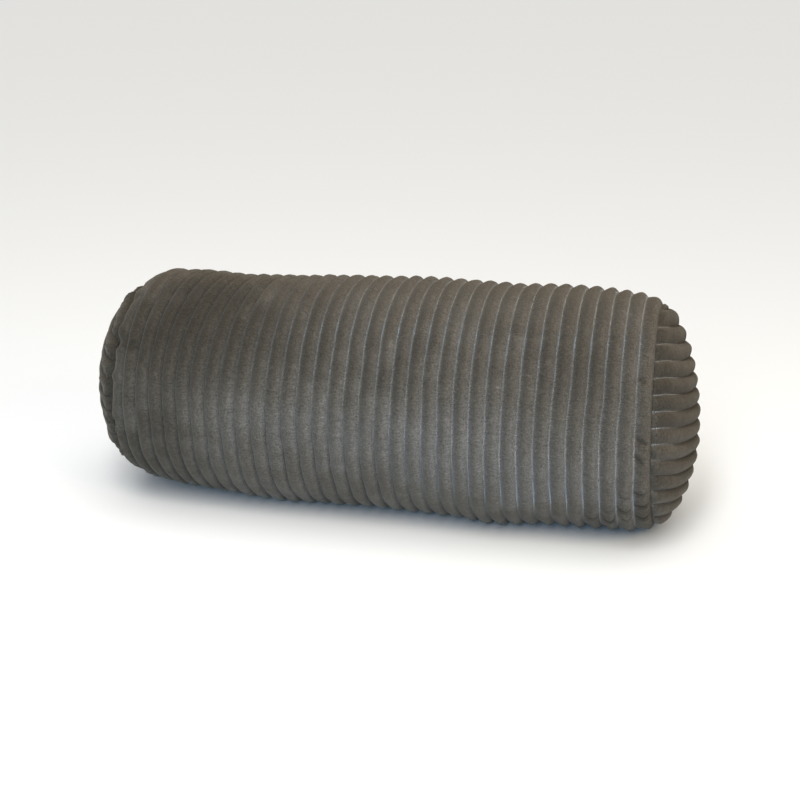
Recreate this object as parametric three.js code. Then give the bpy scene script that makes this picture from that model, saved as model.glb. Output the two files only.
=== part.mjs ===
// Neck roll pillow in wide-wale corduroy: a filled barrel with a round panel sewn into each end.
// Millimetres, +Z up. The roll lies along X and rests on Z = 0, with its front towards -Y.

import * as THREE from 'three';

// Cords of the cloth
const WALE_PITCH = 10.15; // one cord with its groove, along the barrel
const WALE_HEIGHT = 2.4; // crest of a cord above its groove
const WALE_COUNT = 35; // cords from seam to seam
const PANEL_PITCH = 10; // one cord with its groove, across an end panel

// Cloth and filling
const PANEL_CLOTH = 2.2; // end panel at the foot of a groove
const FIT_GAP = 0.4; // clearance between an end panel and the filled barrel
const SETTLE = 6.6; // depth of the underside pressed flat by the weight of the roll
const CROWN_POWER = 0.68; // roundness of the crowned ends, 0.5 being an ellipse
const RIM_ROOM = 1.5; // least distance from a row of a panel's cords to its highest and lowest point
const RIM_FADE = 0.05; // share of a panel's radius in which its cords run out at the seam
const FLATTEST = 1e-4; // least room left beside the seam when the slope of the crown is worked out

// Fineness of the facets
const AROUND = 36; // round the barrel
const CHORD_STEPS = 14; // along one cord of an end panel
const CROWN_SHARES = [1, 0.92, 0.78, 0.58, 0.32]; // rings of a crown, as shares of its radius

// One cord from its groove, leaning a little to the right: across in pitches, rise in cord heights
const WALE_SHAPE = [
  { across: 0, rise: 0 },
  { across: 0.25, rise: 0.54 },
  { across: 0.56, rise: 1 },
  { across: 0.83, rise: 0.64 },
];

// Sections of the barrel at groove depth, placed in cords from the left seam.
// over: radius across the top and back, under: radius across the front and underside,
// shift: drift of the cords along X, lean: further drift where they cross the top,
// tilt: slope of the section along X for each millimetre up
const LEFT_SEAM = { cord: 0, over: 62, under: 61.2, shift: 0, lean: 0, tilt: 0.04 };
const RIGHT_SEAM = { cord: WALE_COUNT, over: 71.5, under: 70.3, shift: 0, lean: 0, tilt: -0.043 };
const SECTIONS = [
  LEFT_SEAM,
  { cord: 1, over: 72.3, under: 66.6, shift: 0, lean: 3, tilt: 0.02 },
  { cord: 2, over: 72, under: 70, shift: -0.4, lean: 5.5, tilt: 0.01 },
  { cord: 3, over: 73, under: 71.3, shift: -0.8, lean: 7.5, tilt: 0 },
  { cord: 6, over: 71.7, under: 73.7, shift: -2.2, lean: 9, tilt: 0 },
  { cord: 10, over: 73.1, under: 76.8, shift: -1, lean: 4, tilt: 0 },
  { cord: 14, over: 75.1, under: 76.4, shift: 0, lean: 1, tilt: 0 },
  { cord: 18, over: 76.5, under: 75.8, shift: 0, lean: 0.5, tilt: 0 },
  { cord: 22, over: 77.7, under: 77, shift: 0, lean: 0, tilt: 0 },
  { cord: 25, over: 77.2, under: 78.8, shift: 0, lean: 0, tilt: 0 },
  { cord: 29, over: 78.5, under: 75.8, shift: 0, lean: 0, tilt: 0 },
  { cord: 32, over: 77.2, under: 74.9, shift: 0, lean: 0, tilt: -0.01 },
  { cord: 34, over: 75.3, under: 74.4, shift: 0, lean: 0, tilt: -0.03 },
  RIGHT_SEAM,
];
const COLUMNS = ['over', 'under', 'shift', 'lean', 'tilt'];
const OVER_ANGLE = THREE.MathUtils.degToRad(110); // from level at the front, up over the top

// The two ends. side: way along X, crown: swell of the cloth at its grooves, cords: height of its cords,
// droop: how much fuller the crown is below than above, slope: degrees that the cords fall
// towards the back, offset: of a groove from the middle, in pitches
const RIGHT_END = {
  name: 'right_end_panel',
  side: 1,
  seam: RIGHT_SEAM,
  crown: 23.6,
  cords: 2.4,
  droop: 0.12,
  slope: 14,
  offset: -0.2,
};
const LEFT_END = {
  name: 'left_end_panel',
  side: -1,
  seam: LEFT_SEAM,
  crown: 23.4,
  cords: 1.5,
  droop: -0.2,
  slope: -17,
  offset: 0.1,
};

const LOWEST_GROOVE = Math.max(...SECTIONS.map((section) => section.under));
const AXIS_HEIGHT = LOWEST_GROOVE + WALE_HEIGHT - SETTLE;

const sectionCurve = new THREE.CubicInterpolant(
  SECTIONS.map((section) => section.cord),
  SECTIONS.flatMap((section) => COLUMNS.map((column) => section[column])),
  COLUMNS.length,
);

// Angles of the facets round the roll, level at the front being zero
const turns = [];
for (let step = 0; step < AROUND; step++) {
  turns.push(((step + 0.5) * 2 * Math.PI) / AROUND);
}

// Place along X of a cord counted from the left seam
function alongRoll(cord) {
  return (cord - WALE_COUNT / 2) * WALE_PITCH;
}

// Point of the barrel's cloth, its underside pressed flat
function barrelPoint(cord, rise, turn) {
  const [over, under, shift, lean, tilt] = sectionCurve.evaluate(cord);
  const facing = Math.cos(turn - OVER_ANGLE);
  const radius = (over + under) / 2 + (facing * (over - under)) / 2 + rise * WALE_HEIGHT;
  const up = radius * Math.sin(turn);
  const x = alongRoll(cord) + shift + lean * Math.max(0, facing) ** 2 + tilt * up;
  return new THREE.Vector3(x, -radius * Math.cos(turn), Math.max(AXIS_HEIGHT + up, 0));
}

// Swell of a crowned end, across and up from its middle in shares of its radius
function swell(end, crown, across, up) {
  const inside = Math.max(0, 1 - across ** 2 - up ** 2);
  return crown * inside ** CROWN_POWER * (1 - end.droop * up);
}

function seamRadius(end) {
  return (end.seam.over + end.seam.under) / 2;
}

// Point of a crowned end: out from the seam's plane, across and up from the middle of the seam
function endPoint(end, out, across, up) {
  const offCentre = (end.seam.over - end.seam.under) / 2;
  const y = across - offCentre * Math.cos(OVER_ANGLE);
  const rise = up + offCentre * Math.sin(OVER_ANGLE);
  const x = alongRoll(end.seam.cord) + end.side * out + end.seam.tilt * rise;
  return new THREE.Vector3(x, y, AXIS_HEIGHT + rise);
}

// Smooth crowned end, standing off the seam's plane: its rings from the rim inwards, and its tip
function crownRings(end, standOff, radius, crown) {
  return CROWN_SHARES.map((share) => turns.map((turn) => {
    const across = -share * Math.cos(turn);
    const up = share * Math.sin(turn);
    return endPoint(end, standOff + swell(end, crown, across, up), radius * across, radius * up);
  }));
}

function crownTip(end, standOff, crown) {
  return endPoint(end, standOff + crown, 0, 0);
}

function makeMesh(name, points, faces) {
  const geometry = new THREE.BufferGeometry().setFromPoints(points);
  geometry.setIndex(faces);
  geometry.computeVertexNormals();
  const material = new THREE.MeshStandardMaterial({ color: 0x5c5a55, roughness: 0.95, metalness: 0 });
  const mesh = new THREE.Mesh(geometry, material);
  mesh.name = name;
  return mesh;
}

// The barrel: cord rows from seam to seam, closed by the crown of the filling at each end
function filledBarrel() {
  const inset = PANEL_CLOTH + FIT_GAP;
  const rows = [];
  for (let cord = 0; cord < WALE_COUNT; cord++) {
    for (const { across, rise } of WALE_SHAPE) {
      rows.push({ cord: cord + across, rise });
    }
  }
  rows.push({ cord: WALE_COUNT, rise: 0 });
  const crown = (end) => crownRings(end, 0, seamRadius(end) - inset, end.crown - inset);
  const rings = [
    ...crown(LEFT_END).reverse(),
    ...rows.map(({ cord, rise }) => turns.map((turn) => barrelPoint(cord, rise, turn))),
    ...crown(RIGHT_END),
  ];
  const points = [
    crownTip(LEFT_END, 0, LEFT_END.crown - inset),
    ...rings.flat(),
    crownTip(RIGHT_END, 0, RIGHT_END.crown - inset),
  ];
  const faces = [];
  const tip = points.length - 1;
  for (let ring = 0; ring < rings.length; ring++) {
    for (let step = 0; step < AROUND; step++) {
      const here = 1 + ring * AROUND + step;
      const beside = 1 + ring * AROUND + ((step + 1) % AROUND);
      if (ring === 0) {
        faces.push(0, here, beside);
      }
      if (ring === rings.length - 1) {
        faces.push(tip, beside, here);
      } else {
        faces.push(here, beside + AROUND, beside, here, here + AROUND, beside + AROUND);
      }
    }
  }
  return makeMesh('filled_barrel', points, faces);
}

// Flat rim between two loops of point numbers, each in order of its angle round the roll
function rimFaces(points, outer, inner) {
  const faces = [];
  const angle = (number) => Math.atan2(points[number].z - AXIS_HEIGHT, -points[number].y);
  const inOrder = (loop) => loop.slice().sort((a, b) => angle(a) - angle(b));
  const wide = inOrder(outer);
  const narrow = inOrder(inner);
  const at = (loop, place) => loop[place % loop.length];
  const reach = (loop, place) => (place < loop.length ? angle(loop[place]) : angle(loop[0]) + 2 * Math.PI);
  let w = 0;
  let n = 0;
  while (w < wide.length || n < narrow.length) {
    const stepWide = n === narrow.length || (w < wide.length && reach(wide, w + 1) <= reach(narrow, n + 1));
    if (stepWide) {
      faces.push(at(wide, w), at(wide, w + 1), at(narrow, n));
      w += 1;
    } else {
      faces.push(at(wide, w), at(narrow, n + 1), at(narrow, n));
      n += 1;
    }
  }
  return faces;
}

// A round of cloth, crowned by the filling, with straight cords across its outer face
function endPanel(end) {
  const { side, crown } = end;
  const radius = seamRadius(end);
  const slope = THREE.MathUtils.degToRad(end.slope);
  const points = [];
  const faces = [];

  // Outer face: a row of points along each line of the cord shape, the cords raised square to the swell
  const clothPoint = (place, along, rise) => {
    const across = along * Math.cos(slope) + place * Math.sin(slope);
    const up = place * Math.cos(slope) - along * Math.sin(slope);
    const share = Math.min(1, Math.hypot(across, up) / radius);
    const out = swell(end, crown, across / radius, up / radius);
    const steep = (2 * CROWN_POWER * out) / (Math.max(1 - share ** 2, FLATTEST) * radius ** 2);
    const lift = rise * end.cords * Math.min(1, (1 - share) / RIM_FADE);
    const raised = new THREE.Vector3(1, steep * across, steep * up).setLength(lift);
    return endPoint(end, FIT_GAP + out + raised.x, across + raised.y, up + raised.z);
  };
  const rows = [];
  const reach = Math.ceil(radius / PANEL_PITCH) + 1;
  for (let cord = -reach; cord < reach; cord++) {
    for (const { across, rise } of WALE_SHAPE) {
      const place = (cord + end.offset + across) * PANEL_PITCH;
      if (Math.abs(place) < radius - RIM_ROOM) {
        rows.push({ place, rise });
      }
    }
  }
  points.push(clothPoint(-radius, 0, 0), clothPoint(radius, 0, 0));
  const grid = rows.map(({ place, rise }) => {
    const chord = Math.sqrt(radius ** 2 - place ** 2);
    const row = [];
    for (let step = 0; step <= CHORD_STEPS; step++) {
      const along = chord * Math.sin((step / CHORD_STEPS - 0.5) * Math.PI);
      row.push(points.push(clothPoint(place, along, rise)) - 1);
    }
    return row;
  });
  const lastRow = grid[grid.length - 1];
  for (let step = 0; step < CHORD_STEPS; step++) {
    faces.push(0, grid[0][step + 1], grid[0][step]);
    faces.push(1, lastRow[step], lastRow[step + 1]);
    for (let r = 0; r + 1 < grid.length; r++) {
      faces.push(grid[r][step], grid[r][step + 1], grid[r + 1][step + 1]);
      faces.push(grid[r][step], grid[r + 1][step + 1], grid[r + 1][step]);
    }
  }

  // Inner face, smooth against the filling
  const backRings = crownRings(end, FIT_GAP, radius - PANEL_CLOTH, crown - PANEL_CLOTH)
    .map((ring) => ring.map((point) => points.push(point) - 1));
  const backTip = points.push(crownTip(end, FIT_GAP, crown - PANEL_CLOTH)) - 1;
  for (let step = 0; step < AROUND; step++) {
    const beside = (step + 1) % AROUND;
    for (let r = 0; r + 1 < backRings.length; r++) {
      faces.push(backRings[r][step], backRings[r][beside], backRings[r + 1][beside]);
      faces.push(backRings[r][step], backRings[r + 1][beside], backRings[r + 1][step]);
    }
    const lastRing = backRings[backRings.length - 1];
    faces.push(lastRing[step], lastRing[beside], backTip);
  }

  // Rim that meets the barrel
  const outerLoop = [0, 1, ...grid.flatMap((row) => [row[0], row[CHORD_STEPS]])];
  faces.push(...rimFaces(points, outerLoop, backRings[0]));

  // The left panel is laid out the other way round, so its faces turn over
  if (side < 0) {
    for (let face = 0; face < faces.length; face += 3) {
      [faces[face + 1], faces[face + 2]] = [faces[face + 2], faces[face + 1]];
    }
  }
  return makeMesh(end.name, points, faces);
}

const pillow = new THREE.Group();
pillow.add(filledBarrel(), endPanel(RIGHT_END), endPanel(LEFT_END));

// Origin at the bottom centre of the roll
const middle = new THREE.Box3().setFromObject(pillow).getCenter(new THREE.Vector3());
for (const mesh of pillow.children) {
  mesh.geometry.translate(-middle.x, -middle.y, 0);
}

export default pillow;
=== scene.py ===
"""Neck roll pillow in wide-wale plush corduroy, dressed over its solids.

Shapes are worked out in millimetres and become metres when a mesh is made.
"""

import math

import bpy
import numpy as np
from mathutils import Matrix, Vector


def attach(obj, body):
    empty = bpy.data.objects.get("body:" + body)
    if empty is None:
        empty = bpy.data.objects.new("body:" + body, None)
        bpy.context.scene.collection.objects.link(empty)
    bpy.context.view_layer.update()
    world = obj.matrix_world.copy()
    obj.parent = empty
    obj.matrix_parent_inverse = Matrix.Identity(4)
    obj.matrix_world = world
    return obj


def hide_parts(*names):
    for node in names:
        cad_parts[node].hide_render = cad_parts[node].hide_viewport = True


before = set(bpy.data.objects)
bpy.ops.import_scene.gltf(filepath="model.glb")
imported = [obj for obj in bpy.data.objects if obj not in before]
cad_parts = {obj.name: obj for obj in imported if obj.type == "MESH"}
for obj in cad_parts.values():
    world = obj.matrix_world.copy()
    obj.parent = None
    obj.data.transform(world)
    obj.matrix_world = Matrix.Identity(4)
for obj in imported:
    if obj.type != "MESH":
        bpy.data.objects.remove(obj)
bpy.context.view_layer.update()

METRE = 1000  # millimetres

# Cords of the cloth, as in the solids
WALE_PITCH = 10.15
WALE_HEIGHT = 2.4
WALE_COUNT = 35
PANEL_PITCH = 10.0

# Form of the roll, as in the solids
PANEL_CLOTH = 2.2
FIT_GAP = 0.4
SETTLE = 6.6
CROWN_POWER = 0.68
OVER_ANGLE = math.radians(110)
ORIGIN = np.array([0.742, -0.236, 0.0])  # middle of the solids' box, from the middle between the seams

# Sections of the roll. cord: place from the left seam, over and under: radius at the over angle and
# opposite to it, shift: way along the roll, lean: further way at the over angle, tilt: further way for
# each millimetre of height
LEFT_SEAM = dict(cord=0, over=62, under=61.2, shift=0, lean=0, tilt=0.04)
RIGHT_SEAM = dict(cord=WALE_COUNT, over=71.5, under=70.3, shift=0, lean=0, tilt=-0.043)
SECTIONS = [
    LEFT_SEAM,
    dict(cord=1, over=72.3, under=66.6, shift=0, lean=3, tilt=0.02),
    dict(cord=2, over=72, under=70, shift=-0.4, lean=5.5, tilt=0.01),
    dict(cord=3, over=73, under=71.3, shift=-0.8, lean=7.5, tilt=0),
    dict(cord=6, over=71.7, under=73.7, shift=-2.2, lean=9, tilt=0),
    dict(cord=10, over=73.1, under=76.8, shift=-1, lean=4, tilt=0),
    dict(cord=14, over=75.1, under=76.4, shift=0, lean=1, tilt=0),
    dict(cord=18, over=76.5, under=75.8, shift=0, lean=0.5, tilt=0),
    dict(cord=22, over=77.7, under=77, shift=0, lean=0, tilt=0),
    dict(cord=25, over=77.2, under=78.8, shift=0, lean=0, tilt=0),
    dict(cord=29, over=78.5, under=75.8, shift=0, lean=0, tilt=0),
    dict(cord=32, over=77.2, under=74.9, shift=0, lean=0, tilt=-0.01),
    dict(cord=34, over=75.3, under=74.4, shift=0, lean=0, tilt=-0.03),
    RIGHT_SEAM,
]
AXIS_HEIGHT = max(row["under"] for row in SECTIONS) + WALE_HEIGHT - SETTLE
CROWN_SHARES = (1, 0.92, 0.78, 0.58, 0.32)

# End panels. side: 1 to the right and -1 to the left, seed: of their noise, crown: height of the dome,
# cords: height of the cords, droop: how much fuller the dome is below than above, slope: of the cords in
# degrees, offset: of the cords in pitches, tone: lie of the nap and painted shade, darkening the panel,
# shut: how far the grooves are shut, tuck: depth of the dip into the seam, gather: height of the gathers
RIGHT_END = dict(
    name="right_panel_cover", side=1, seam=RIGHT_SEAM, seed=40, crown=23.6, cords=2.4, droop=0.12,
    slope=14, offset=-0.2, tone=-0.45, shut=0.95, tuck=0.15, gather=0,
)
LEFT_END = dict(
    name="left_panel_cover", side=-1, seam=LEFT_SEAM, seed=60, crown=23.4, cords=1.9, droop=-0.2,
    slope=-17, offset=0.1, tone=-0.6, shut=3, tuck=0.9, gather=0.9,
)

# Fineness of the cloth: places of the rows of points across a cord, and points round the roll
ROW_PLACES = np.array([0, 0.035, 0.065, 0.14, 0.26, 0.41, 0.56, 0.71, 0.84, 0.935, 0.965])
AROUND = 244
FINER = 0.42  # how much closer than on average the points lie where the creases are
FINEST_TURN = math.radians(-15)
CHORD_STEPS = 120
RIM_ROOM = 0.05  # distance from the seam of the last row of points on a panel

# Shape of a cord
CREST_PLACE = 0.58  # where its crest lies across the pitch
FREE_POWER = 1.05  # roundness of a cord between open grooves; less is plumper
PRESSED_POWER = 0.62  # the same between shut grooves
GROUND_REACH = 0.035  # half the width of the bare ground, in pitches
PILE_REACH = 0.065  # distance from a groove at which the cord stands clear of the ground, in pitches
THICK_REACH = 0.28  # distance from a groove at which the pile is at its thickest, in pitches
THIN_REACH = 0.42  # the same on the side that a cord leans to
GROUND_DEPTH = 0.25  # depth of the bare ground below the feet of the cords in an open groove
CLOSED_DEPTH = 1.1  # the same in a shut groove, where the cords press together

# How far the grooves are open. Heights on the roll run from -1 underneath to 1 on top
FIRST_OPEN = 2  # cord at which the grooves begin to open high up
LATER_BELOW = 12  # how many cords later they begin to open low down
OPENING_CORDS = 14  # number of cords in which they open
HIGH_SIDE = 3 / 7  # height above which they open early
LOW_SIDE = -2 / 7  # height below which they open late
TOP_SHUT = 0.45  # how far they shut again on top
TOP_FROM = 0.75  # height at which that begins
UNDER_SHUT = 0.9  # how far they shut again underneath
UNDER_FROM = -0.45  # height at which that begins
UNDER_TO = -0.75  # height at which that ends
SHUT_AT_LEFT = 1.2  # share of that shutting at the left seam, one more than at the right seam
PANEL_FRONT_OPEN = 0.9  # how much further a panel's grooves open at its front than in its middle
PANEL_TOP_OPEN = 0.7  # the same at its top

# Pale ground in the grooves
SHUT_SHOWN = 0.62  # how much of it shows in a shut groove
SEAM_SHOWN = 0.45  # how much of it shows at the right seam
PANEL_LINE = 0.45  # its width between a panel's cords, as a share of that on the barrel

# Seams, gathers and creases
SEAM_LIP = 0.34  # how far the edge of the barrel's cloth turns into the seam
TUCK_REACH = 1.3  # distance from the seam in which the cloth dips
PUCKER_PLACE = 3.5  # distance from the seam at which the barrel puckers most
PUCKER_REACH = 2  # distance from there in which the puckers fade
RIM_RISE = 1.2  # distance from the seam in which a panel's cords reach their height
GATHER_REACH = 9  # distance from its seam in which a panel is gathered
GATHER_SIZE = 0.7  # size of the gathers, in steps of the points round the roll
GATHER_SINK = 0.5  # how far the gathers sink at most, as a share of how far they usually stand out
CREASE_LIP = 0.35  # height of the fold above a crease, as a share of the depth of the crease
LIP_ABOVE = 2  # how far the fold lies above the crease, in half lengths of the crease
SHADE_ABOVE = 0.4  # how far the shade lies above the crease, in the same measure
CREASE_SHADE = 0.5  # painted shade in a crease or seam, for each millimetre of its depth

# The barrel at its seams. cord: place of the seam, tuck: depth of the dip into it, gather: height of the
# puckers, reach: their size in steps of the points round the roll, seed: of their noise
SEAMS = [
    dict(cord=0, tuck=0.9, gather=0.7, reach=1.6, seed=8),
    dict(cord=WALE_COUNT, tuck=0.15, gather=0.42, reach=0.9, seed=43),
]

# Unevenness of the barrel. seed: of its noise, strength, reach: over rows and points round the roll.
# Grooves wander by parts of a cord, lumps are in millimetres, heights are shares of the height of a cord
GROOVE_WANDER = [
    dict(seed=3, strength=0.035, reach=(30, 10)),
    dict(seed=4, strength=0.015, reach=(8, 4)),
]
CLOTH_LUMPS = [
    dict(seed=6, strength=0.12, reach=(2.0, 1.3)),
    dict(seed=7, strength=0.2, reach=(9, 6)),
]
CORD_HEIGHTS = [dict(seed=5, strength=0.07, reach=(0.4, 7))]

# Unevenness of a panel, as on the barrel, but its grooves wander by millimetres. seed: added to the panel's
PANEL_WANDER = [dict(seed=0, strength=0.35, reach=(20, 9))]
PANEL_HEIGHTS = [dict(seed=1, strength=0.08, reach=(4, 6))]
PANEL_LUMPS = [dict(seed=2, strength=0.12, reach=(2, 2))]
PANEL_PATCHES = [dict(seed=3, strength=0.2, reach=(6, 6))]
GATHER_SEED = 4
WANDER_ROOM = 8  # distance from the seam in which a panel's grooves begin to wander

# Lie of the nap, which is lighter where it is raised, and painted light and shade laid over it
NAP_BROAD = [dict(seed=12, strength=0.1, reach=(22, 9))]  # broad patches on the barrel
NAP_RAGGED = [dict(seed=11, strength=1, reach=(0.35, 3.0))]  # patches on single cords
RAGGED_TONE = 0.18  # strength of those
RAGGED_SINK = 0.6  # how dark they are at most, as a share of how light they usually are
RAGGED_AT_LEFT = 1.2  # share of them at the left seam; more than one counts as one
RAGGED_CORDS = 16  # number of cords in which that share falls by one
RAGGED_LEAST = 0.4  # least share of them
NAP_EDGE = math.radians(5)  # how unevenly the zones end on single cords
NAP_CONTRAST = 1.2
NAP_RADIUS = 78.0  # radius at which the pattern of the nap is measured round the roll
NAP_STEP = 37.0  # how far that pattern is shifted from one cord to the next
PANEL_FLANK_SHADE = 0.3  # painted shade: how much lighter the upper side of a panel's cords is than their lower side
PANEL_FRONT_LIGHT = 0.2  # painted light: how much lighter a panel is at its front

# Simulated swell of the cloth
SWELL_ROWS = 71
SWELL_AROUND = 96
SWELL_FRAMES = 20
SWELL_START = [dict(seed=9, strength=0.4, reach=(2.5, 2.5))]  # unevenness of the coarse tube
SWELL_PRESSURE = 4
SWELL_LIMIT = 0.9

# Creases and dents where the cloth is gathered. cord: place from the left seam, turn: degrees up from
# level at the front, deep: depth, wide: half width in cords, long: half length in degrees,
# sag: degrees that the middle hangs below its sides, fall: degrees that the middle lies below the left side
DENTS = [
    dict(cord=34.25, turn=35, deep=1.3, wide=0.3, long=1.3, sag=0, fall=1.2),
    dict(cord=34.4, turn=6.4, deep=1.7, wide=0.45, long=1.2, sag=0, fall=1.8),
    dict(cord=34.28, turn=-2.8, deep=1.7, wide=0.32, long=1.4, sag=0, fall=2.2),
    dict(cord=34.45, turn=-22.6, deep=1.8, wide=0.5, long=1.2, sag=2.5, fall=0),
    dict(cord=34.45, turn=-31.2, deep=2.1, wide=0.5, long=1.2, sag=2.5, fall=0),
    dict(cord=34.45, turn=-41.3, deep=2.1, wide=0.5, long=1.2, sag=4, fall=0),
    dict(cord=33.6, turn=-24.4, deep=1.4, wide=0.5, long=1.2, sag=3, fall=0),
    dict(cord=33.6, turn=-34.5, deep=1.8, wide=0.5, long=1.2, sag=3.5, fall=0),
    dict(cord=33.6, turn=-42, deep=2.2, wide=0.5, long=1.2, sag=5, fall=0),
    dict(cord=32.6, turn=-35.5, deep=1.2, wide=0.5, long=1.2, sag=3, fall=0),
    dict(cord=32.6, turn=-46, deep=2.1, wide=0.5, long=1.2, sag=6, fall=0),
    dict(cord=31.6, turn=-44, deep=1.0, wide=0.5, long=1.2, sag=4, fall=0),
    dict(cord=32.5, turn=54.5, deep=0.8, wide=0.4, long=1.0, sag=1, fall=0),
    dict(cord=26.45, turn=44.2, deep=0.6, wide=0.5, long=1.0, sag=-2, fall=0),
    dict(cord=0.6, turn=37, deep=2.0, wide=0.6, long=2.5, sag=0, fall=0),
    dict(cord=1.4, turn=33, deep=1.0, wide=0.5, long=2.0, sag=0, fall=0),
    dict(cord=0.45, turn=66, deep=1.4, wide=0.5, long=3, sag=0, fall=0),
    dict(cord=0.5, turn=-20, deep=1.2, wide=0.5, long=2.5, sag=0, fall=0),
]

# Zones where the colour is lighter and cooler, or darker and warmer: the lie of the nap, with painted shade
# at the left end and underneath and painted light low at the front. cord and turn: middle as for the dents,
# wide: half width in cords, long: half length in degrees, tone: from -1 dark to 1 light
NAP_AND_SHADE_ZONES = [
    dict(cord=1, turn=43, wide=7, long=36, tone=-1.08),
    dict(cord=9, turn=56, wide=6, long=28, tone=-0.72),
    dict(cord=0, turn=-48, wide=6, long=32, tone=-1.25),
    dict(cord=3, turn=-14, wide=5, long=20, tone=-0.3),
    dict(cord=33.5, turn=-48, wide=4, long=14, tone=-0.7),
    dict(cord=34.4, turn=-4, wide=0.6, long=18, tone=-0.2),
    dict(cord=31, turn=34, wide=4, long=22, tone=-0.25),
    dict(cord=17, turn=-68, wide=40, long=16, tone=-0.55),
    dict(cord=20, turn=-5, wide=10, long=20, tone=0.8),
    dict(cord=27, turn=-18, wide=6, long=18, tone=0.6),
    dict(cord=12, turn=3, wide=5, long=12, tone=0.35),
    dict(cord=18, turn=31, wide=6, long=12, tone=-0.35),
    dict(cord=24, turn=72, wide=10, long=18, tone=0.3),
    dict(cord=9, turn=150, wide=8, long=30, tone=0.5),
    dict(cord=25, turn=200, wide=9, long=30, tone=-0.5),
    dict(cord=15, turn=250, wide=10, long=25, tone=-0.4),
]

# Colours of the cloth. place: along the ramp, from bare ground at 0 to thick pile at 1; the stop at 0.16,
# lighter than the ground, is a painted sheen beside the grooves
PILE_AND_SHEEN_COLOURS = [
    dict(place=0.0, colour=(0.088, 0.083, 0.077)),
    dict(place=0.16, colour=(0.096, 0.09, 0.082)),
    dict(place=0.4, colour=(0.079, 0.072, 0.0635)),
    dict(place=1.0, colour=(0.0645, 0.0555, 0.0448)),
]

# Factors on those colours for the lie of the nap and painted light and shade. place: from laid down and in
# painted warm shade at 0 to raised and in painted cool light at 1
NAP_AND_SHADE_COLOURS = [
    dict(place=0.0, colour=(0.42, 0.402, 0.362)),
    dict(place=0.5, colour=(0.95, 0.95, 0.95)),
    dict(place=1.0, colour=(1.28, 1.34, 1.45)),
]

# Cloth as a surface
NAP_SLANT = math.radians(38)  # slant of the streaks of the nap
NAP_STRETCH = (0.35, 1.5, 1.0)  # how fine they are across and along a cord
RIB_PITCH = 1.05  # distance between the ribs of the ground along the grooves
RELIEF = {"Strength": 0.6, "Distance": 0.0006}
SHADER_VALUES = {
    "Coat Roughness": 0.25,
    "Coat IOR": 1.9,
    "Roughness": 0.9,
    "Specular IOR Level": 0.14,
    "Sheen Weight": 0.15,
    "Sheen Roughness": 0.45,
    "Sheen Tint": (0.8, 0.71, 0.58, 1),
}

# Soft lamps near the object. at: place in metres, size: width and height in metres, power: watts
LAMPS = [
    dict(name="key", at=(0.8, -0.6, 0.7), size=(0.4, 0.4), power=3.0, colour=(1.0, 0.78, 0.46)),
    dict(name="front", at=(0.15, -1.1, 0.1), size=(0.4, 0.16), power=4.0, colour=(0.42, 0.71, 1.0)),
    dict(name="fill", at=(-0.4, -1.05, 0.1), size=(0.4, 0.16), power=3.5, colour=(0.34, 0.67, 1.0)),
    dict(name="glint", at=(0.03, -0.8, 0.85), size=(0.25, 0.9), power=7.0, colour=(1.0, 0.97, 0.92)),
]
OVERHEAD = dict(strength=1.42, soft=70, colour=(1.0, 0.93, 0.82))  # watts on a square metre, degrees
WORLD_COLOUR = (1.0, 0.98, 0.94)
WORLD_STRENGTH = 0.42

# Floor and camera. at and aim: places in metres, lens and sensor: millimetres
FLOOR_REACH = 30
FLOOR_DROP = 0.0005  # metres below the object
FLOOR_COLOUR = (0.88, 0.915, 0.97)
FLOOR_ROUGHNESS = 0.9
CAMERA = dict(at=(0.226969, -0.927486, 0.414372), aim=(0.003694, 0.000236, 0.069832), lens=67.52, sensor=36)


def section_curve(column, cords):
    """Smooth curve through one column of the sections, as the solids have it."""
    places = np.array([row["cord"] for row in SECTIONS], float)
    values = np.array([row[column] for row in SECTIONS], float)
    last = len(places) - 1
    upper = np.clip(np.searchsorted(places, cords, side="right"), 1, last)
    lower = upper - 1
    before = np.where(upper >= 2, upper - 2, upper)
    after = np.where(upper < last, upper + 1, lower)
    span = places[upper] - places[lower]
    weight_before = span / 2 / (places[lower] - places[before])
    weight_after = span / 2 / (places[after] - places[upper])
    part = (cords - places[lower]) / span
    return (
        values[before] * weight_before * (-part**3 + 2 * part**2 - part)
        + values[lower] * ((1 + weight_before) * part**3 - (1.5 + 2 * weight_before) * part**2
                           + (weight_before - 0.5) * part + 1)
        + values[upper] * (-(1 + weight_after) * part**3 + (1.5 + weight_after) * part**2 + 0.5 * part)
        + values[after] * weight_after * (part**3 - part**2)
    )


def soft_noise(seed, shape, reach):
    """Smooth noise of unit strength that repeats at its edges; reach is in rows and columns."""
    rng = np.random.default_rng(seed)
    spectrum = np.fft.fft2(rng.standard_normal(shape))
    down = np.fft.fftfreq(shape[0])[:, None] * reach[0]
    along = np.fft.fftfreq(shape[1])[None, :] * reach[1]
    smooth = np.real(np.fft.ifft2(spectrum * np.exp(-2 * np.pi**2 * (down**2 + along**2))))
    return smooth / smooth.std()


def uneven(fields, shape, seed=0):
    """Sum of a table of noise, its seeds counted from a first one."""
    total = 0
    for field in fields:
        total = total + field["strength"] * soft_noise(seed + field["seed"], shape, field["reach"])
    return total


def fade(value, start, end):
    """How far a value has come from a start to an end, held between nothing and one."""
    return np.clip((value - start) / (end - start), 0, 1)


def along_roll(cord):
    """Place of a cord along the roll, from the middle between the seams."""
    return (cord - WALE_COUNT / 2) * WALE_PITCH


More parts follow.
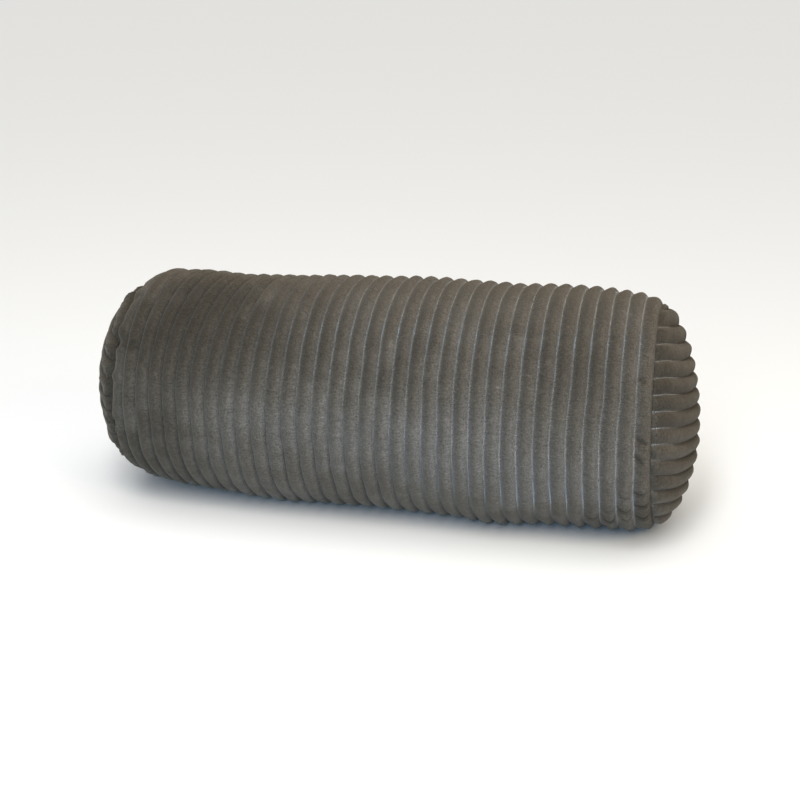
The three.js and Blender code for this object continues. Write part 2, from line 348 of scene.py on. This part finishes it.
def cord_shape(place, opened):
    """Rise of a cord across its pitch, as a share of its height, leaning to the right.

    Where the grooves are shut the cords are plumper and press together.
    """
    inside = np.clip((place - GROUND_REACH) / (1 - 2 * GROUND_REACH), 0, 1)
    leaning = inside ** (math.log(0.5) / math.log(CREST_PLACE))
    power = PRESSED_POWER + (FREE_POWER - PRESSED_POWER) * opened
    return np.clip(np.sin(np.pi * leaning), 0, None) ** power


def pile_cover(place, reach=1):
    """How thick the pile is: nothing in a groove, one on a cord."""
    return np.clip(np.minimum(place / THICK_REACH, (1 - place) / THIN_REACH) / reach, 0, 1)


def bare_ground(place):
    """Where the ground lies bare: one in a groove, nothing on a cord."""
    away = np.minimum(place, 1 - place)
    return np.clip((PILE_REACH - away) / (PILE_REACH - GROUND_REACH), 0, 1)


def groove_opening(cord, turn):
    """How far the grooves are open: shut near the left end, later low down, less on top and underneath."""
    height = np.sin(turn)
    start = FIRST_OPEN + LATER_BELOW * fade(height, HIGH_SIDE, LOW_SIDE)
    opened = np.clip((cord - start) / OPENING_CORDS, 0, 1)
    shut = TOP_SHUT * fade(height, TOP_FROM, 1) + UNDER_SHUT * fade(height, UNDER_FROM, UNDER_TO)
    return opened * np.clip(1 - shut * (SHUT_AT_LEFT - cord / WALE_COUNT), 0, 1)


def groove_depth(opened):
    """Depth of the bare ground below the feet of the cords."""
    return CLOSED_DEPTH + (GROUND_DEPTH - CLOSED_DEPTH) * opened


def turns_round():
    """Angles of the points round the roll, level at the front being zero."""
    even = np.arange(AROUND) * 2 * np.pi / AROUND
    return FINEST_TURN + even - FINER * np.sin(even)


def barrel_base(cord, turn):
    """Points of the barrel at groove depth and the way the cloth faces there."""
    over, under, shift, lean, tilt = [
        section_curve(column, cord) for column in ("over", "under", "shift", "lean", "tilt")
    ]
    facing = np.cos(turn - OVER_ANGLE)
    radius = (over + under) / 2 + facing * (over - under) / 2
    step = 0.05
    ahead = np.minimum(cord + step, WALE_COUNT)
    behind = np.maximum(cord - step, 0)
    slope = 0
    for column, sign in (("over", 1), ("under", -1)):
        rise = section_curve(column, ahead) - section_curve(column, behind)
        slope = slope + (1 + sign * facing) / 2 * rise / ((ahead - behind) * WALE_PITCH)
    up = radius * np.sin(turn)
    x = along_roll(cord) + shift + lean * np.maximum(0, facing) ** 2 + tilt * up
    points = np.stack([x, -radius * np.cos(turn), AXIS_HEIGHT + up], -1)
    normals = np.stack(np.broadcast_arrays(-slope, -np.cos(turn), np.sin(turn)), -1)
    normals = normals / np.linalg.norm(normals, axis=-1, keepdims=True)
    return points, normals


def seam_radius(end):
    """Mean radius of the seam round an end panel."""
    return (end["seam"]["over"] + end["seam"]["under"]) / 2


def end_points(end, out, across, up):
    """Points of a crowned end: out from the seam's plane, across and up from the seam's middle."""
    off_centre = (end["seam"]["over"] - end["seam"]["under"]) / 2
    y = across - off_centre * math.cos(OVER_ANGLE)
    rise = up + off_centre * math.sin(OVER_ANGLE)
    x = along_roll(end["seam"]["cord"]) + end["side"] * out + end["seam"]["tilt"] * rise
    return np.stack([x, y, AXIS_HEIGHT + rise], -1)


def crown_height(end, crown, across, up):
    """Height of a crowned end, across and up in shares of its radius."""
    inside = np.maximum(0, 1 - across**2 - up**2)
    return crown * inside**CROWN_POWER * (1 - end["droop"] * up)


def make_mesh(name, points, faces, layers):
    """Smooth mesh from points in millimetres, with its named point layers."""
    mesh = bpy.data.meshes.new(name)
    mesh.from_pydata(((points - ORIGIN) / METRE).tolist(), [], [face.tolist() for face in faces])
    mesh.polygons.foreach_set("use_smooth", [True] * len(mesh.polygons))
    for layer, values in layers.items():
        vector = values.ndim == 2
        attribute = mesh.attributes.new(layer, "FLOAT_VECTOR" if vector else "FLOAT", "POINT")
        attribute.data.foreach_set("vector" if vector else "value", values.ravel().astype(np.float32))
    mesh.update()
    piece = bpy.data.objects.new(name, mesh)
    bpy.context.scene.collection.objects.link(piece)
    return piece


def ring_faces(rings, columns):
    """Faces between closed rings of numbered points, one ring after another."""
    across = np.arange(columns)
    row = np.arange(rings - 1)[:, None] * columns
    here = (row + across).ravel()
    beside = (row + (across + 1) % columns).ravel()
    return np.stack([here, beside, beside + columns, here + columns], -1)


def grid_faces(rows, columns):
    """Faces of an open grid of numbered points, one row after another."""
    row = np.arange(rows - 1)[:, None] * columns
    here = (row + np.arange(columns - 1)).ravel()
    return np.stack([here, here + 1, here + columns + 1, here + columns], -1)


def crown_rings(end, turn):
    """The filling behind an end panel: rings from the seam inwards, the last one a point."""
    inset = PANEL_CLOTH + FIT_GAP
    radius = seam_radius(end) - inset
    share = np.array([*CROWN_SHARES, 0.0])[:, None]
    across = -share * np.cos(turn)
    up = share * np.sin(turn)
    out = crown_height(end, end["crown"] - inset, across, up)
    return end_points(end, out, radius * across, radius * up)


def pressed_out(cord, turn):
    """How far the filling presses the cloth out between its seams, by simulation on a coarse tube."""
    shape = (SWELL_ROWS, SWELL_AROUND)
    rows = np.linspace(0, WALE_COUNT, SWELL_ROWS)[:, None]
    columns = np.arange(SWELL_AROUND)[None, :] * 2 * np.pi / SWELL_AROUND
    start, normals = barrel_base(rows, columns)
    start = start + uneven(SWELL_START, shape)[..., None] * normals
    tube = make_mesh("tube", start.reshape(-1, 3), ring_faces(*shape)[:, ::-1], {})
    seams = tube.vertex_groups.new(name="seams")
    last = (SWELL_ROWS - 1) * SWELL_AROUND
    seams.add([*range(SWELL_AROUND), *range(last, last + SWELL_AROUND)], 1.0, "REPLACE")
    cloth = tube.modifiers.new("cloth", "CLOTH").settings
    cloth.vertex_group_mass = "seams"
    cloth.use_pressure = True
    cloth.uniform_pressure_force = SWELL_PRESSURE
    cloth.effector_weights.gravity = 0
    for step in range(1, SWELL_FRAMES + 1):
        bpy.context.scene.frame_set(step)
    shaped = tube.evaluated_get(bpy.context.evaluated_depsgraph_get())
    moved = np.empty(3 * SWELL_ROWS * SWELL_AROUND)
    shaped.data.vertices.foreach_get("co", moved)
    bpy.context.scene.frame_set(1)
    bpy.data.meshes.remove(tube.data)
    out = ((moved.reshape(*shape, 3) * METRE + ORIGIN - start) * normals).sum(-1)
    out = np.clip(out - out.mean(1, keepdims=True), -SWELL_LIMIT, SWELL_LIMIT)

    # Read between the points of the tube
    row = cord / WALE_COUNT * (SWELL_ROWS - 1)
    column = turn / (2 * np.pi) * SWELL_AROUND
    above = np.minimum(row.astype(int), SWELL_ROWS - 2)
    left = np.floor(column).astype(int)
    down = row - above
    across = column - left
    here = left % SWELL_AROUND
    beside = (left + 1) % SWELL_AROUND
    first = out[above, here] * (1 - across) + out[above, beside] * across
    second = out[above + 1, here] * (1 - across) + out[above + 1, beside] * across
    return first * (1 - down) + second * down


def nap_and_shade_tone(cord, turn, number):
    """How the nap lies over the barrel, with painted shade at the left end and underneath and painted light
    low at the front, its zones ending a little differently on each cord.
    """
    shape = np.broadcast_shapes(cord.shape, turn.shape)
    ragged = np.maximum(uneven(NAP_RAGGED, (WALE_COUNT, AROUND))[number], -RAGGED_SINK)
    share = np.clip(RAGGED_AT_LEFT - cord / RAGGED_CORDS, RAGGED_LEAST, 1)
    tone = uneven(NAP_BROAD, shape) + RAGGED_TONE * ragged * share
    for zone in NAP_AND_SHADE_ZONES:
        beside = (cord - zone["cord"]) / zone["wide"]
        turned = (turn + NAP_EDGE * ragged - math.radians(zone["turn"]) + np.pi) % (2 * np.pi) - np.pi
        tone = tone + zone["tone"] * np.exp(-(beside**2) - (np.degrees(turned) / zone["long"]) ** 2)
    return np.tanh(NAP_CONTRAST * tone)


def barrel_cover():
    """The filled tube of corduroy: plump cords round the roll, dipping into a seam at each end."""
    number = np.append(np.repeat(np.arange(WALE_COUNT), len(ROW_PLACES)), WALE_COUNT - 1)
    place = np.append(np.tile(ROW_PLACES, WALE_COUNT), 1.0)
    cord = (number + place)[:, None]
    turn = turns_round()[None, :]
    shape = (len(cord), AROUND)

    # Uneven hand of the cloth: wandering grooves, cords of uneven height, soft lumps
    wander = uneven(GROOVE_WANDER, shape) * np.clip(np.minimum(cord, WALE_COUNT - cord), 0, 1)
    height = WALE_HEIGHT * (1 + uneven(CORD_HEIGHTS, (WALE_COUNT, AROUND))[number])
    height = height + uneven(CLOTH_LUMPS, shape)
    points, normals = barrel_base(np.clip(cord + wander, 0, WALE_COUNT), turn)
    opened = groove_opening(cord, turn)
    plump = cord_shape(place[:, None], opened)
    rise = plump * height - groove_depth(opened) * bare_ground(place)[:, None] + pressed_out(cord, turn)

    # Creases with a fold above them, and seams with puckers beside them, with painted shade in both
    closed = np.zeros(shape)
    for dent in DENTS:
        beside = (cord - dent["cord"]) / dent["wide"]
        hang = dent["sag"] * np.minimum(beside**2, 1) - dent["fall"] * np.clip(beside, -1, 1)
        above = ((np.degrees(turn) - dent["turn"] - hang + 180) % 360 - 180) / dent["long"]
        pinch = dent["deep"] * np.exp(-(beside**4))
        lip = CREASE_LIP * np.exp(-((above - LIP_ABOVE) ** 2) / 2)
        rise = rise + pinch * plump**0.5 * (lip - np.exp(-(above**2)))
        # Painted shade in and just above the crease
        closed = closed + CREASE_SHADE * pinch * np.exp(-((above - SHADE_ABOVE) ** 2))
    for seam in SEAMS:
        gap = np.abs(cord - seam["cord"]) * WALE_PITCH
        dip = seam["tuck"] * np.exp(-((gap / TUCK_REACH) ** 2))
        puckers = seam["gather"] * soft_noise(seam["seed"], (1, AROUND), (0, seam["reach"]))
        rise = rise - dip + puckers * np.exp(-(((gap - PUCKER_PLACE) / PUCKER_REACH) ** 2))
        # Painted shade in the dip into the seam
        closed = closed + CREASE_SHADE * dip
    points = points + rise[..., None] * normals
    points[0, :, 0] -= SEAM_LIP
    points[-1, :, 0] += SEAM_LIP
    points[..., 2] = np.maximum(points[..., 2], 0)

    # The filling closes each end behind its panel
    left = crown_rings(LEFT_END, turn)[::-1]
    right = crown_rings(RIGHT_END, turn)
    rings = np.concatenate([left[1:], points, right[:-1]])
    tips = np.stack([left[0, 0], right[-1, 0]])
    count = len(rings) * AROUND
    around = np.arange(AROUND)
    beside = (around + 1) % AROUND
    end_row = (len(rings) - 1) * AROUND
    fan_left = np.stack([beside, around, np.full(AROUND, count)], -1)
    fan_right = np.stack([end_row + around, end_row + beside, np.full(AROUND, count + 1)], -1)
    faces = [*ring_faces(len(rings), AROUND)[:, ::-1], *fan_left[:, ::-1], *fan_right[:, ::-1]]

    # Layers of the nap and of painted light and shade, plain where the filling is hidden
    hidden = ((len(left) - 1) * AROUND, (len(right) - 1) * AROUND + len(tips))
    # Painted shade in the creases and seams darkens the lie of the nap
    nap_and_shade = np.clip(nap_and_shade_tone(cord, turn, number) - closed, -1, 1)
    pattern = (cord * WALE_PITCH, turn * NAP_RADIUS, number[:, None] * NAP_STEP)
    nap = np.stack(np.broadcast_arrays(*pattern), -1)
    shown = np.where(cord > WALE_COUNT - 0.5, SEAM_SHOWN, SHUT_SHOWN + (1 - SHUT_SHOWN) * opened)
    pile = 1 - (1 - pile_cover(place)[:, None]) * shown
    # Painted shade: each cord darker on its left flank and lighter on its right, as if lit from the right
    flank_shade = 0.5 + (place[:, None] - 0.5) * (1 + opened) / 2
    layers = {
        "pile": np.pad(pile.ravel(), hidden, constant_values=1),
        "flank_shade": np.pad(flank_shade.ravel(), hidden, constant_values=0.5),
        "nap_and_shade": np.pad(nap_and_shade.ravel(), hidden),
        "nap": np.pad(nap.reshape(-1, 3), (hidden, (0, 0))),
    }
    return make_mesh("barrel_cover", np.concatenate([rings.reshape(-1, 3), tips]), faces, layers)


def gathers_round(end, across, up):
    """Height of the gathers round a panel."""
    turns = np.arange(AROUND) * 2 * np.pi / AROUND
    heights = soft_noise(end["seed"] + GATHER_SEED, (1, AROUND), (0, GATHER_SIZE))[0]
    heights = end["gather"] * np.maximum(heights, -GATHER_SINK)
    return np.interp(np.arctan2(up, across), turns, heights, period=2 * np.pi)


def panel_cover(end):
    """A round of corduroy with straight cords, crowned by the filling and dipping into its seam."""
    radius = seam_radius(end)
    slope = math.radians(end["slope"])
    seed = end["seed"]

    # Rows of points along the cords, from seam to seam
    reach = int(radius / PANEL_PITCH) + 2
    row = (np.arange(-reach, reach)[:, None] + ROW_PLACES + end["offset"]).ravel() * PANEL_PITCH
    edge = radius - RIM_ROOM
    row = np.concatenate([[-edge], row[np.abs(row) < edge], [edge]])[:, None]
    steps = row / PANEL_PITCH - end["offset"]
    number = np.floor(steps + 1e-6)
    place = np.clip(steps - number, 0, 1)
    shape = (len(row), CHORD_STEPS + 1)
    swing = (np.arange(CHORD_STEPS + 1) / CHORD_STEPS - 0.5) * np.pi
    along = np.sqrt(radius**2 - row**2) * np.sin(swing)
    to_seam = radius - np.hypot(along, row)
    row = row + uneven(PANEL_WANDER, shape, seed) * np.clip(to_seam / WANDER_ROOM, 0, 1)
    across = along * math.cos(slope) + row * math.sin(slope)
    up = row * math.cos(slope) - along * math.sin(slope)

    # Dome under the cloth and the way it faces
    share = np.minimum(np.hypot(across, up) / radius, 1)
    out = crown_height(end, end["crown"], across / radius, up / radius)
    steep = 2 * CROWN_POWER * out / (np.maximum(1 - share**2, 1e-3) * radius**2)
    normals = np.stack([np.ones(shape), steep * across, steep * up], -1)
    normals = normals / np.linalg.norm(normals, axis=-1, keepdims=True)

    # Cords, gathers and the dip into the seam
    front = -across / radius
    top = up / radius
    opened = np.clip(1 - end["shut"] + PANEL_FRONT_OPEN * front + PANEL_TOP_OPEN * top, 0, 1)
    width = np.sqrt(np.maximum(0, 1 - (row / radius) ** 2))
    height = end["cords"] * (1 + width * uneven(PANEL_HEIGHTS, shape, seed))
    height = height + width * uneven(PANEL_LUMPS, shape, seed)
    rise = cord_shape(place, opened) * height - groove_depth(opened) * bare_ground(place)
    rise = rise + gathers_round(end, across, up) * np.exp(-((to_seam / GATHER_REACH) ** 2))
    dip = end["tuck"] * np.exp(-((to_seam / TUCK_REACH) ** 2))
    rise = rise * np.clip(to_seam / RIM_RISE, 0, 1) ** 0.5 - dip
    outer = end_points(end, FIT_GAP + out + rise * normals[..., 0],
                       across + rise * normals[..., 1], up + rise * normals[..., 2])

    # Inner face against the filling, and the cut edge that joins the two
    shrink = (radius - PANEL_CLOTH) / radius
    inner_out = crown_height(end, end["crown"] - PANEL_CLOTH, across / radius, up / radius)
    inner = end_points(end, FIT_GAP + inner_out, across * shrink, up * shrink)
    size = shape[0] * shape[1]
    numbers = np.arange(size).reshape(shape)
    rim = np.concatenate([numbers[0, :-1], numbers[:-1, -1], numbers[-1, :0:-1], numbers[:0:-1, 0]])
    beside = np.roll(rim, -1)
    face = grid_faces(*shape)
    cut_edge = np.stack([beside, rim, rim + size, beside + size], -1)
    faces = np.concatenate([face, face[:, ::-1] + size, cut_edge])
    faces = faces if end["side"] > 0 else faces[:, ::-1]

    # Layers of the nap and of painted light and shade, the same on both faces
    nap = np.stack(np.broadcast_arrays(row, along, number * NAP_STEP), -1).reshape(-1, 3)
    patches = width * uneven(PANEL_PATCHES, shape, seed)
    # Painted light at the panel's front and painted shade in the dip into its seam, with the lie of the nap
    nap_and_shade = np.tanh(end["tone"] + PANEL_FRONT_LIGHT * front + patches - CREASE_SHADE * dip)
    pile = 1 - (1 - pile_cover(place, PANEL_LINE)) * opened
    layers = {
        "pile": np.tile(pile.ravel(), 2),
        # Painted shade: a panel's cords lighter on their upper side
        "flank_shade": np.tile(np.repeat(0.5 + PANEL_FLANK_SHADE * (place - 0.5), shape[1]), 2),
        "nap_and_shade": np.tile(nap_and_shade.ravel(), 2),
        "nap": np.tile(nap, (2, 1)),
    }
    points = np.concatenate([outer.reshape(-1, 3), inner.reshape(-1, 3)])
    return make_mesh(end["name"], points, faces, layers)


def add_node(tree, kind, inputs=None, **settings):
    """One shader node: plain settings, and inputs that are values or the sockets of other nodes."""
    node = tree.nodes.new(kind)
    for name, value in settings.items():
        setattr(node, name, value)
    for name, value in (inputs or {}).items():
        if isinstance(value, bpy.types.NodeSocket):
            tree.links.new(value, node.inputs[name])
        else:
            node.inputs[name].default_value = value
    return node


def set_ramp(node, stops):
    """Colour stops of a ramp, from a table of them."""
    ramp = node.color_ramp
    while len(ramp.elements) < len(stops):
        ramp.elements.new(1.0)
    for element, stop in zip(ramp.elements, stops):
        element.position = stop["place"]
        element.color = (*stop["colour"], 1)


def remap(tree, value, low, high, out_low, out_high, kind="LINEAR"):
    """A value stretched from one range to another and held inside it."""
    node = add_node(tree, "ShaderNodeMapRange", {
        "Value": value, "From Min": low, "From Max": high, "To Min": out_low, "To Max": out_high,
    }, interpolation_type=kind)
    return node.outputs[0]


def combine(tree, operation, first, second):
    """Two values put together by one operation."""
    return add_node(tree, "ShaderNodeMath", {0: first, 1: second}, operation=operation).outputs[0]


def layer_value(tree, name, output="Fac"):
    """A point layer of the mesh."""
    return add_node(tree, "ShaderNodeAttribute", attribute_name=name).outputs[output]


def noise_value(tree, vector, **inputs):
    """Noise over a vector."""
    return add_node(tree, "ShaderNodeTexNoise", {"Vector": vector, **inputs}).outputs["Fac"]


def corduroy_material():
    """Plush cords with a laid nap and painted light and shade, over a paler ribbed ground that shows in the
    grooves.
    """
    material = bpy.data.materials.new("corduroy")
    material.use_nodes = True
    tree = material.node_tree
    shader = tree.nodes["Principled BSDF"]
    place = add_node(tree, "ShaderNodeTexCoord").outputs["Object"]
    pile = layer_value(tree, "pile")
    flank_shade = layer_value(tree, "flank_shade")
    nap_and_shade = layer_value(tree, "nap_and_shade")
    nap = layer_value(tree, "nap", "Vector")

    # Single hairs, slanting streaks of the nap, patches and raised tufts
    fleck = noise_value(tree, place, Scale=950.0, Detail=3.0, Roughness=0.65)
    slant = add_node(tree, "ShaderNodeMapping",
                     {"Vector": nap, "Rotation": (0, 0, NAP_SLANT), "Scale": NAP_STRETCH})
    streak = noise_value(tree, slant.outputs[0], Scale=0.9, Detail=2.0, Roughness=0.6)
    patch = noise_value(tree, place, Scale=55.0, Detail=3.0, Distortion=0.6)
    tuft = noise_value(tree, place, Scale=150.0, Detail=1.0)

    # Colour by the thickness of the pile, with a painted sheen beside the grooves, and by the lie of the
    # nap with painted light and shade, then its unevenness and the painted shade of the cords' flanks
    tone = add_node(tree, "ShaderNodeValToRGB", {"Fac": pile})
    set_ramp(tone, PILE_AND_SHEEN_COLOURS)
    nap_and_shade_share = remap(tree, nap_and_shade, low=-1.0, high=1.0, out_low=0.0, out_high=1.0)
    nap_and_shade_ramp = add_node(tree, "ShaderNodeValToRGB", {"Fac": nap_and_shade_share})
    set_ramp(nap_and_shade_ramp, NAP_AND_SHADE_COLOURS)
    base = add_node(tree, "ShaderNodeVectorMath", {0: tone.outputs["Color"], 1: nap_and_shade_ramp.outputs["Color"]},
                    operation="MULTIPLY")
    shades = [
        remap(tree, fleck, low=0.32, high=0.68, out_low=0.64, out_high=1.36),
        remap(tree, streak, low=0.3, high=0.7, out_low=0.8, out_high=1.2),
        remap(tree, patch, low=0.38, high=0.62, out_low=0.95, out_high=1.05),
        remap(tree, tuft, low=0.62, high=0.74, out_low=1.0, out_high=1.2),
        # Painted shade of the cords' flanks
        remap(tree, flank_shade, low=0.2, high=0.8, out_low=0.8, out_high=1.17, kind="SMOOTHSTEP"),
    ]
    strength = shades[0]
    for shade in shades[1:]:
        strength = combine(tree, "MULTIPLY", strength, shade)
    colour = add_node(tree, "ShaderNodeVectorMath", {0: base.outputs["Vector"], 3: strength},
                      operation="SCALE")

    # Relief, with the ribs of the ground along the grooves
    along = add_node(tree, "ShaderNodeSeparateXYZ", {0: nap}).outputs["Y"]
    angle = combine(tree, "MULTIPLY", along, 2 * math.pi / RIB_PITCH)
    rib = add_node(tree, "ShaderNodeMath", {0: angle}, operation="SINE").outputs[0]
    bare = remap(tree, pile, low=0.16, high=0.4, out_low=1.0, out_high=0.0)
    rib = combine(tree, "MULTIPLY", rib, bare)
    relief = combine(tree, "ADD", combine(tree, "ADD", rib, fleck), streak)
    bump = add_node(tree, "ShaderNodeBump", {"Height": relief, **RELIEF})
    tree.links.new(colour.outputs["Vector"], shader.inputs["Base Color"])
    tree.links.new(bump.outputs["Normal"], shader.inputs["Normal"])
    tree.links.new(bump.outputs["Normal"], shader.inputs["Coat Normal"])
    shine = remap(tree, pile, low=0.1, high=0.35, out_low=1.0, out_high=0.0)
    tree.links.new(shine, shader.inputs["Coat Weight"])
    for name, value in SHADER_VALUES.items():
        shader.inputs[name].default_value = value
    return material


def plain_material(name, colour, roughness):
    """One colour all over."""
    material = bpy.data.materials.new(name)
    material.use_nodes = True
    shader = material.node_tree.nodes["Principled BSDF"]
    shader.inputs["Base Color"].default_value = (*colour, 1)
    shader.inputs["Roughness"].default_value = roughness
    return material


def add_lamp(lamp):
    """A soft rectangular lamp, aimed at the middle of the object."""
    light = bpy.data.lights.new(lamp["name"], "AREA")
    light.shape = "RECTANGLE"
    light.size, light.size_y = lamp["size"]
    light.energy = lamp["power"]
    light.color = lamp["colour"]
    stand = bpy.data.objects.new(lamp["name"], light)
    stand.location = lamp["at"]
    way = Vector(lamp["at"]) - Vector((0, 0, AXIS_HEIGHT / METRE))
    stand.rotation_euler = way.to_track_quat("Z", "Y").to_euler()
    bpy.context.scene.collection.objects.link(stand)


# Pieces
corduroy = corduroy_material()
for piece, node in (
    (barrel_cover(), "filled_barrel"),
    (panel_cover(RIGHT_END), "right_end_panel"),
    (panel_cover(LEFT_END), "left_end_panel"),
):
    piece.data.materials.append(corduroy)
    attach(piece, "root")
    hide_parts(node)

# Floor and light
floor_mesh = bpy.data.meshes.new("floor")
corners = [(x * FLOOR_REACH, y * FLOOR_REACH, -FLOOR_DROP) for x, y in ((-1, -1), (1, -1), (1, 1), (-1, 1))]
floor_mesh.from_pydata(corners, [], [(0, 1, 2, 3)])
floor_mesh.materials.append(plain_material("floor", FLOOR_COLOUR, FLOOR_ROUGHNESS))
floor = bpy.data.objects.new("floor", floor_mesh)
bpy.context.scene.collection.objects.link(floor)
for lamp in LAMPS:
    add_lamp(lamp)
overhead = bpy.data.lights.new("overhead", "SUN")
overhead.energy = OVERHEAD["strength"]
overhead.angle = math.radians(OVERHEAD["soft"])
overhead.color = OVERHEAD["colour"]
bpy.context.scene.collection.objects.link(bpy.data.objects.new("overhead", overhead))
world = bpy.data.worlds.new("studio")
world.use_nodes = True
sky = world.node_tree.nodes["Background"]
sky.inputs["Color"].default_value = (*WORLD_COLOUR, 1)
sky.inputs["Strength"].default_value = WORLD_STRENGTH
bpy.context.scene.world = world
bpy.context.scene.view_settings.view_transform = "Standard"

# Camera at the photo's angle
camera_data = bpy.data.cameras.new("camera")
camera_data.lens = CAMERA["lens"]
camera_data.sensor_width = CAMERA["sensor"]
camera = bpy.data.objects.new("camera", camera_data)
camera.location = CAMERA["at"]
camera.rotation_euler = (Vector(CAMERA["aim"]) - camera.location).to_track_quat("-Z", "Y").to_euler()
bpy.context.scene.collection.objects.link(camera)
bpy.context.scene.camera = camera

bpy.context.view_layer.update()
